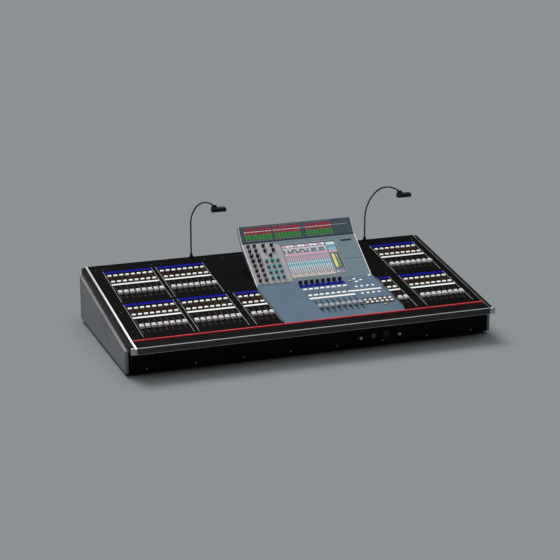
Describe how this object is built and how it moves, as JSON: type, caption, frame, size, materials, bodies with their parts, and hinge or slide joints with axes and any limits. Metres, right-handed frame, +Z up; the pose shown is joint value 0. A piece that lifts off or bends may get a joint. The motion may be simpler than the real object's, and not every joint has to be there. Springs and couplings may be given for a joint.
{
  "type": "lighting control desk",
  "caption": "Wide wedge-shaped control desk: banks of faders and keys on a sloping surface, raised display with knobs, touch screen and level meters, and gooseneck lamps.",
  "frame": {"origin": "middle of the footprint, at the bottom of the rubber feet", "axes": "+X across the desk to the operator's right, +Y from the operator to the back, +Z up"},
  "size_m": [1.5212, 0.783, 0.4825],
  "materials": {
    "grey_powder_coat": "fine textured powder coat",
    "silver_trim": "satin anodised extrusion",
    "black_trim": "satin black",
    "black_surface": "semi-gloss black lacquer",
    "blue_grey_surface": "satin blue-grey lacquer",
    "armrest_plastic": "moulded capping",
    "red_plastic": "gloss",
    "knob_panel": "satin pinkish grey",
    "screen_glass": "glossy touch screen",
    "meter_plastic": "lit blocks",
    "display_plastic": "deep blue display",
    "white_plastic": "satin white",
    "light_key_plastic": "translucent white key",
    "silver_cap": "light grey fader cap",
    "black_knob": "matte black",
    "steel": "zinc plated",
    "silver_knob": "turned and anodised",
    "black_plastic": "moulded",
    "board": "green laminate",
    "rubber": "matte"
  },
  "bodies": {
    "console": {"floor_pan": "grey_powder_coat", "front_fascia": "grey_powder_coat", "rear_panel": "grey_powder_coat", "rear_ledge": "black_surface", "left_cheek_plate": "grey_powder_coat", "right_cheek_plate": "grey_powder_coat", "left_end_trim": "silver_trim", "right_end_trim": "silver_trim", "armrest_top": "armrest_plastic", "front_rail": "black_trim", "red_strip": "red_plastic", "left_surface_plate": "black_surface", "centre_surface_plate": "blue_grey_surface", "right_surface_plate": "black_surface", "display_left_cheek": "blue_grey_surface", "display_right_cheek": "blue_grey_surface", "display_front_panel": "blue_grey_surface", "meter_panel": "blue_grey_surface", "display_rear_cover": "grey_powder_coat", "knob_plate": "knob_panel", "touch_screen": "screen_glass", "meter_lamp_blocks": "meter_plastic", "channel_displays": "display_plastic", "write_on_strips": "white_plastic", "fader_tracks": "steel", "circuit_boards": "board", "power_supply": "steel", "rear_sockets": "black_plastic", "front_sockets": "black_plastic", "rubber_feet": "rubber", "case_screws": "steel", "lamp_sockets": "steel"},
    "faders_far_left_upper": {"faders_far_left_upper": "silver_cap"},
    "faders_far_left_lower": {"faders_far_left_lower": "silver_cap"},
    "faders_left_upper": {"faders_left_upper": "silver_cap"},
    "faders_left_lower": {"faders_left_lower": "silver_cap"},
    "faders_inner_left": {"faders_inner_left": "silver_cap"},
    "faders_centre": {"faders_centre": "silver_cap"},
    "faders_inner_right": {"faders_inner_right": "silver_cap"},
    "faders_right_upper": {"faders_right_upper": "silver_cap"},
    "faders_right_lower": {"faders_right_lower": "silver_cap"},
    "channel_keys_far_row": {"channel_keys_far_row": "light_key_plastic"},
    "channel_keys_near_row": {"channel_keys_near_row": "light_key_plastic"},
    "keypad_keys": {"keypad_keys": "light_key_plastic"},
    "panel_knobs": {"panel_knobs": "black_knob"},
    "encoder_knob_1": {"encoder_knob_1": "black_knob"},
    "encoder_knob_2": {"encoder_knob_2": "black_knob"},
    "encoder_knob_3": {"encoder_knob_3": "black_knob"},
    "encoder_knob_4": {"encoder_knob_4": "black_knob"},
    "encoder_knob_5": {"encoder_knob_5": "black_knob"},
    "encoder_knob_6": {"encoder_knob_6": "black_knob"},
    "encoder_knob_7": {"encoder_knob_7": "black_knob"},
    "encoder_knob_8": {"encoder_knob_8": "black_knob"},
    "left_front_knob": {"left_front_knob": "silver_knob"},
    "right_front_knob": {"right_front_knob": "silver_knob"},
    "power_rocker": {"power_rocker": "black_plastic"},
    "left_lamp_neck": {"left_lamp_neck": "black_trim"},
    "left_lamp_hood": {"left_lamp_hood": "black_trim"},
    "right_lamp_neck": {"right_lamp_neck": "black_trim"},
    "right_lamp_hood": {"right_lamp_hood": "black_trim"}
  },
  "joints": [
    {"name": "faders_far_left_upper_slide", "type": "slide", "parent": "console", "child": "faders_far_left_upper", "axis": [0, 0.991, 0.134], "range_m": [-0.037, 0.063]},
    {"name": "faders_far_left_lower_slide", "type": "slide", "parent": "console", "child": "faders_far_left_lower", "axis": [0, 0.991, 0.134], "range_m": [-0.037, 0.063]},
    {"name": "faders_left_upper_slide", "type": "slide", "parent": "console", "child": "faders_left_upper", "axis": [0, 0.991, 0.134], "range_m": [-0.037, 0.063]},
    {"name": "faders_left_lower_slide", "type": "slide", "parent": "console", "child": "faders_left_lower", "axis": [0, 0.991, 0.134], "range_m": [-0.037, 0.063]},
    {"name": "faders_inner_left_slide", "type": "slide", "parent": "console", "child": "faders_inner_left", "axis": [0, 0.991, 0.134], "range_m": [-0.037, 0.063]},
    {"name": "faders_centre_slide", "type": "slide", "parent": "console", "child": "faders_centre", "axis": [0, 0.991, 0.134], "range_m": [-0.037, 0.063]},
    {"name": "faders_inner_right_slide", "type": "slide", "parent": "console", "child": "faders_inner_right", "axis": [0, 0.991, 0.134], "range_m": [-0.037, 0.063]},
    {"name": "faders_right_upper_slide", "type": "slide", "parent": "console", "child": "faders_right_upper", "axis": [0, 0.991, 0.134], "range_m": [-0.037, 0.063]},
    {"name": "faders_right_lower_slide", "type": "slide", "parent": "console", "child": "faders_right_lower", "axis": [0, 0.991, 0.134], "range_m": [-0.037, 0.063]},
    {"name": "channel_keys_far_row_press", "type": "slide", "parent": "console", "child": "channel_keys_far_row", "axis": [0, 0.134, -0.991], "range_m": [0, 0.0015], "stiffness_N_per_m": 2500, "springref_m": -0.0012},
    {"name": "channel_keys_near_row_press", "type": "slide", "parent": "console", "child": "channel_keys_near_row", "axis": [0, 0.134, -0.991], "range_m": [0, 0.0015], "stiffness_N_per_m": 2500, "springref_m": -0.0012},
    {"name": "keypad_keys_press", "type": "slide", "parent": "console", "child": "keypad_keys", "axis": [0, 0.134, -0.991], "range_m": [0, 0.0015], "stiffness_N_per_m": 2500, "springref_m": -0.0012},
    {"name": "panel_knobs_press", "type": "slide", "parent": "console", "child": "panel_knobs", "axis": [0, 0.5461, -0.8377], "range_m": [0, 0.0015], "stiffness_N_per_m": 2500, "springref_m": -0.0012},
    {"name": "encoder_knob_1_turn", "type": "hinge", "parent": "console", "child": "encoder_knob_1", "pos_m": [0.06825, 0.01049, 0.18275], "axis": [0, -0.134, 0.991], "continuous": true},
    {"name": "encoder_knob_2_turn", "type": "hinge", "parent": "console", "child": "encoder_knob_2", "pos_m": [0.09275, 0.01049, 0.18275], "axis": [0, -0.134, 0.991], "continuous": true},
    {"name": "encoder_knob_3_turn", "type": "hinge", "parent": "console", "child": "encoder_knob_3", "pos_m": [0.11725, 0.01049, 0.18275], "axis": [0, -0.134, 0.991], "continuous": true},
    {"name": "encoder_knob_4_turn", "type": "hinge", "parent": "console", "child": "encoder_knob_4", "pos_m": [0.14175, 0.01049, 0.18275], "axis": [0, -0.134, 0.991], "continuous": true},
    {"name": "encoder_knob_5_turn", "type": "hinge", "parent": "console", "child": "encoder_knob_5", "pos_m": [0.16625, 0.01049, 0.18275], "axis": [0, -0.134, 0.991], "continuous": true},
    {"name": "encoder_knob_6_turn", "type": "hinge", "parent": "console", "child": "encoder_knob_6", "pos_m": [0.19075, 0.01049, 0.18275], "axis": [0, -0.134, 0.991], "continuous": true},
    {"name": "encoder_knob_7_turn", "type": "hinge", "parent": "console", "child": "encoder_knob_7", "pos_m": [0.21525, 0.01049, 0.18275], "axis": [0, -0.134, 0.991], "continuous": true},
    {"name": "encoder_knob_8_turn", "type": "hinge", "parent": "console", "child": "encoder_knob_8", "pos_m": [0.23975, 0.01049, 0.18275], "axis": [0, -0.134, 0.991], "continuous": true},
    {"name": "left_front_knob_turn", "type": "hinge", "parent": "console", "child": "left_front_knob", "pos_m": [0.193, -0.3295, 0.05], "axis": [0, -1, 0], "range_deg": [-140, 140]},
    {"name": "right_front_knob_turn", "type": "hinge", "parent": "console", "child": "right_front_knob", "pos_m": [0.357, -0.3295, 0.05], "axis": [0, -1, 0], "range_deg": [-140, 140]},
    {"name": "power_rocker_tilt", "type": "hinge", "parent": "console", "child": "power_rocker", "pos_m": [-0.56, 0.3825, 0.076], "axis": [1, 0, 0], "range_deg": [0, 16]},
    {"name": "left_lamp_swivel", "type": "hinge", "parent": "console", "child": "left_lamp_neck", "pos_m": [-0.283, 0.3745, 0.23432], "axis": [0, 0, 1], "range_deg": [-90, 90]},
    {"name": "left_lamp_hood_tilt", "type": "hinge", "parent": "left_lamp_neck", "child": "left_lamp_hood", "pos_m": [-0.20506, 0.29656, 0.46465], "axis": [1, 0, 0], "range_deg": [-30, 30]},
    {"name": "right_lamp_swivel", "type": "hinge", "parent": "console", "child": "right_lamp_neck", "pos_m": [0.5, 0.3745, 0.23432], "axis": [0, 0, 1], "range_deg": [-90, 90]},
    {"name": "right_lamp_hood_tilt", "type": "hinge", "parent": "right_lamp_neck", "child": "right_lamp_hood", "pos_m": [0.61174, 0.26276, 0.46449], "axis": [1, 0, 0], "range_deg": [-30, 30]}
  ]
}
